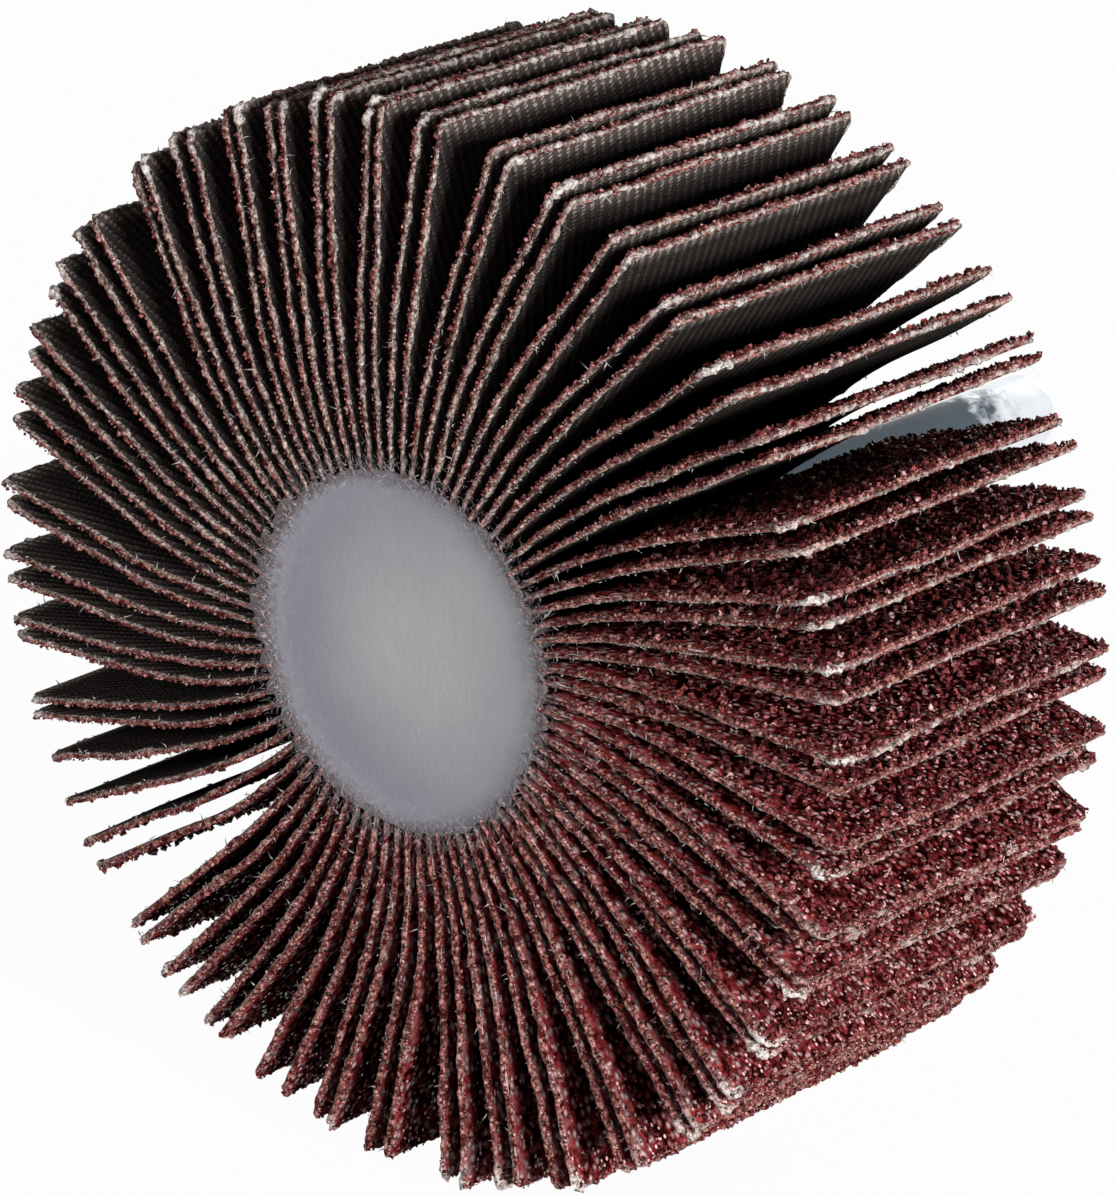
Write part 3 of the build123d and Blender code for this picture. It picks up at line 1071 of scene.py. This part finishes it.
class FLAPWHEEL_OT_add_core(bpy.types.Operator):
    """Cast the core: a spool with a ragged skirt of resin round its face, and cotton caught in its border"""

    bl_idname = "flapwheel.add_core"
    bl_label = "Core"

    def execute(self, context):
        look = context.scene.core_settings
        front, back = core_low.y, core_high.y
        seat = CORE_RADIUS - TONGUE_DEPTH
        lip = NOTCH_DEPTH - (core_low.y - FLAP_FRONT)
        ease = 0.35 * MM
        turn = np.linspace(0, math.pi / 2, 5)
        flat_radius, skirt_radius = CORE_RADIUS - 0.9 * MM, CORE_RADIUS + 0.1 * MM
        skirt_back = 0.2 * MM
        rings = np.linspace(0.0, flat_radius, 11)[1:]
        profile = [[ON_AXIS, front]] + [[r, front] for r in rings]
        profile += [[CORE_RADIUS - 0.4 * MM, front - 0.15 * MM], [CORE_RADIUS, FLAP_FRONT - 0.06 * MM]]
        profile += [[skirt_radius, FLAP_FRONT], [skirt_radius, FLAP_FRONT + skirt_back]]
        skirt = np.arange(len(profile) - 3, len(profile))
        profile += [[CORE_RADIUS, front + skirt_back]]
        profile += [[CORE_RADIUS, front + lip], [seat, front + lip]]
        profile += [[seat, back - lip], [CORE_RADIUS, back - lip]]
        profile += [[CORE_RADIUS - ease + ease * math.cos(t), back - ease + ease * math.sin(t)] for t in turn]
        profile += [[0.3 * CORE_RADIUS, back], [ON_AXIS, back]]
        points, faces = lathe(profile, CORE_STEPS)
        radius = np.hypot(points[:, 0], points[:, 2])
        edge = smoothstep(0.9 * CORE_RADIUS, CORE_RADIUS, radius)
        fine = smooth_noise(points, 0.5 * MM, 4.0) * 0.05 * MM
        uneven = smooth_noise(points, 1.1 * MM, 3.0) * 0.10 * MM + fine
        ring = np.repeat(np.arange(len(profile)), CORE_STEPS)
        around = np.stack([points[:, 0], 0 * radius, points[:, 2]], axis=-1) / radius[:, None]
        ragged = smooth_noise(around, 0.04, 5.0) + 0.6 * smooth_noise(around, 0.2, 6.0)
        creep = (0.1 + 0.5 * around[:, 0] ** 2) * (1 + 1.2 * ragged) * MM
        uneven = uneven + np.where(np.isin(ring, skirt), np.clip(creep, 0, None), 0)
        points[:, [0, 2]] *= (1 + edge * uneven / np.maximum(radius, MM))[:, None]
        shell = Shell()
        shell.add(points, faces[:, ::-1], 0)
        rng = np.random.default_rng(CORE_SEED)
        count = look.frays
        turn = rng.uniform(0, 2 * math.pi, count)
        place = CORE_RADIUS + (rng.beta(2.0, 3.2, count) * 3.8 - 1.0) * MM
        outward = np.stack([np.sin(turn), 0 * turn, np.cos(turn)], axis=-1)
        starts = outward * place[:, None]
        starts[:, 1] = FLAP_FRONT + rng.uniform(-0.12, 0.2, count) * MM
        directions = 0.6 * outward + rng.normal(size=(count, 3)) * np.array([0.6, 0.2, 0.6])
        directions[:, 1] -= 0.15
        directions = unit(directions)
        curls = rng.uniform(-0.4, 0.4, (count, 3))
        lengths = rng.uniform(0.2, 0.8, count) * MM
        tones = np.clip(rng.random(count) + 0.35 - 0.3 * (place - CORE_RADIUS) / MM, 0, 1)
        thickness = rng.uniform(0.014, 0.04, count) * MM
        add_fibres(shell, starts, directions, lengths, thickness, curls, tones, 1, segments=2)
        flaps = context.scene.flap_settings
        shell.piece("cast_core", [resin_material(look), fuzz_material(flaps)], "resin", ["core"])
        return {"FINISHED"}


class FLAPWHEEL_OT_add_flaps(bpy.types.Operator):
    """Add the flaps, pair by pair: blade, cut edge, loose grains and frays"""

    bl_idname = "flapwheel.add_flaps"
    bl_label = "Flaps"

    def execute(self, context):
        look = context.scene.flap_settings
        kinds = (grit_material, cloth_material, edge_material, loose_grain_material, lint_material)
        materials = [make(look) for make in kinds]
        rng = np.random.default_rng(FLAP_SEED)
        for name, flaps in find_flaps():
            shell = Shell()
            for flap in flaps:
                add_blade(shell, flap, look)
                add_edge(shell, flap, look, rng)
                add_grains(shell, flap, look, rng)
                add_threads(shell, flap, look, rng)
            shell.piece(name.replace("flap_pair", "coated_flaps"), materials, "abrasive_cloth", [name])
        return {"FINISHED"}


class FLAPWHEEL_OT_add_stage(bpy.types.Operator):
    """Set the white floor, the soft studio light and the camera"""

    bl_idname = "flapwheel.add_stage"
    bl_label = "Stage"

    def execute(self, context):
        look = context.scene.stage_settings
        low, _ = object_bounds()
        add_floor(low.z)
        set_world(look)
        view, right, up = view_axes(look)
        add_light("key_light", WHEEL_CENTRE + KEY_PLACE, KEY_SIZE, look.key_power)
        add_light("fill_light", WHEEL_CENTRE + FILL_PLACE, FILL_SIZE, look.fill_power)
        add_light("back_light", WHEEL_CENTRE + BACK_PLACE, BACK_SIZE, look.back_power)
        camera = new_object("camera", bpy.data.cameras.new("camera"))
        camera.data.sensor_width = 36.0
        camera.data.lens = look.lens
        camera.data.clip_start = 0.01
        camera.data.clip_end = 10.0
        place = WHEEL_CENTRE + look.aim_right * right + look.aim_up * up - look.camera_distance * view
        turn = Matrix((right, up, -view)).transposed().to_4x4()
        camera.matrix_world = Matrix.Translation(place) @ turn
        context.scene.camera = camera
        context.scene.view_settings.view_transform = "Standard"
        return {"FINISHED"}


# Floor, light and view


def view_axes(look):
    """The view's direction, right and up, from its azimuth and elevation."""
    azimuth, elevation = look.camera_azimuth, look.camera_elevation
    level = math.cos(elevation)
    view = Vector((-math.sin(azimuth) * level, math.cos(azimuth) * level, -math.sin(elevation)))
    right = Vector((math.cos(azimuth), math.sin(azimuth), 0))
    return view, right, right.cross(view)


def seen_share(nodes):
    """1 for rays that show the background: straight to the camera, mirrored or through glass."""
    rays = nodes.node("ShaderNodeLightPath").outputs
    seen = nodes.maths("MAXIMUM", rays["Is Camera Ray"], rays["Is Glossy Ray"])
    return nodes.maths("MAXIMUM", seen, rays["Is Transmission Ray"])


def add_floor(height):
    """A wide floor under the lowest tips: seen as white, with a small grey share that takes the shadow."""
    corners = np.array([[-1, -1], [1, -1], [1, 1], [-1, 1]]) * FLOOR_SIDE / 2
    mesh = bpy.data.meshes.new("floor")
    mesh.from_pydata([(x, y, height) for x, y in corners], [], [(0, 1, 2, 3)])
    floor = new_object("floor", mesh)
    material = bpy.data.materials.new("white_floor")
    nodes = empty_nodes(material)
    grey = nodes.node("ShaderNodeBsdfDiffuse", {"Color": (FLOOR_GREY,) * 3 + (1,)}).outputs[0]
    glow = nodes.node("ShaderNodeEmission", {"Color": (1, 1, 1, 1), "Strength": 1.0}).outputs[0]
    share = nodes.times(seen_share(nodes), FLOOR_WHITE_SHARE)
    mixed = nodes.node("ShaderNodeMixShader", {"Fac": share})
    nodes.feed(mixed.inputs[1], grey)
    nodes.feed(mixed.inputs[2], glow)
    nodes.node("ShaderNodeOutputMaterial", {"Surface": mixed.outputs[0]})
    mesh.materials.append(material)
    floor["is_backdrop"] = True


def set_world(look):
    """Even grey light from all round, and white where the background is seen."""
    world = bpy.data.worlds.new("studio")
    nodes = empty_nodes(world)
    dim = {"Color": (1, 1, 1, 1), "Strength": look.world_strength}
    light = nodes.node("ShaderNodeBackground", dim).outputs[0]
    white = nodes.node("ShaderNodeBackground", {"Color": (1, 1, 1, 1), "Strength": 1.0}).outputs[0]
    mixed = nodes.node("ShaderNodeMixShader", {"Fac": seen_share(nodes)})
    nodes.feed(mixed.inputs[1], light)
    nodes.feed(mixed.inputs[2], white)
    nodes.node("ShaderNodeOutputWorld", {"Surface": mixed.outputs[0]})
    bpy.context.scene.world = world


def add_light(name, place, size, power):
    """A square soft light at a place, turned to the wheel's centre."""
    light = bpy.data.lights.new(name, "AREA")
    light.size = size
    light.energy = power
    lamp = new_object(name, light)
    turn = (WHEEL_CENTRE - place).to_track_quat("-Z", "Y").to_matrix().to_4x4()
    lamp.matrix_world = Matrix.Translation(place) @ turn


# Panel and registration


class FLAPWHEEL_PT_panel(bpy.types.Panel):
    """Lists the wheel's pieces in the sidebar"""

    bl_idname = "FLAPWHEEL_PT_panel"
    bl_label = "Flap wheel"
    bl_space_type = "VIEW_3D"
    bl_region_type = "UI"
    bl_category = "Flap wheel"

    def draw(self, context):
        for operator, settings in STEPS:
            self.layout.operator(operator.bl_idname)
            group = getattr(context.scene, settings)
            for name in group.bl_rna.properties.keys():
                if name not in ("rna_type", "name"):
                    self.layout.prop(group, name)


SETTINGS = {
    "spindle_settings": SpindleSettings,
    "core_settings": CoreSettings,
    "flap_settings": FlapSettings,
    "stage_settings": StageSettings,
}
STEPS = (
    (FLAPWHEEL_OT_add_spindle, "spindle_settings"),
    (FLAPWHEEL_OT_add_core, "core_settings"),
    (FLAPWHEEL_OT_add_flaps, "flap_settings"),
    (FLAPWHEEL_OT_add_stage, "stage_settings"),
)


def register():
    for name, settings in SETTINGS.items():
        bpy.utils.register_class(settings)
        setattr(bpy.types.Scene, name, bpy.props.PointerProperty(type=settings))
    for operator, _ in STEPS:
        bpy.utils.register_class(operator)
    bpy.utils.register_class(FLAPWHEEL_PT_panel)


def unregister():
    bpy.utils.unregister_class(FLAPWHEEL_PT_panel)
    for operator, _ in reversed(STEPS):
        bpy.utils.unregister_class(operator)
    for name, settings in reversed(SETTINGS.items()):
        delattr(bpy.types.Scene, name)
        bpy.utils.unregister_class(settings)


def main():
    register()
    bpy.ops.flapwheel.add_spindle()
    bpy.ops.flapwheel.add_core()
    bpy.ops.flapwheel.add_flaps()
    bpy.ops.flapwheel.add_stage()


if __name__ == "__main__":
    main()
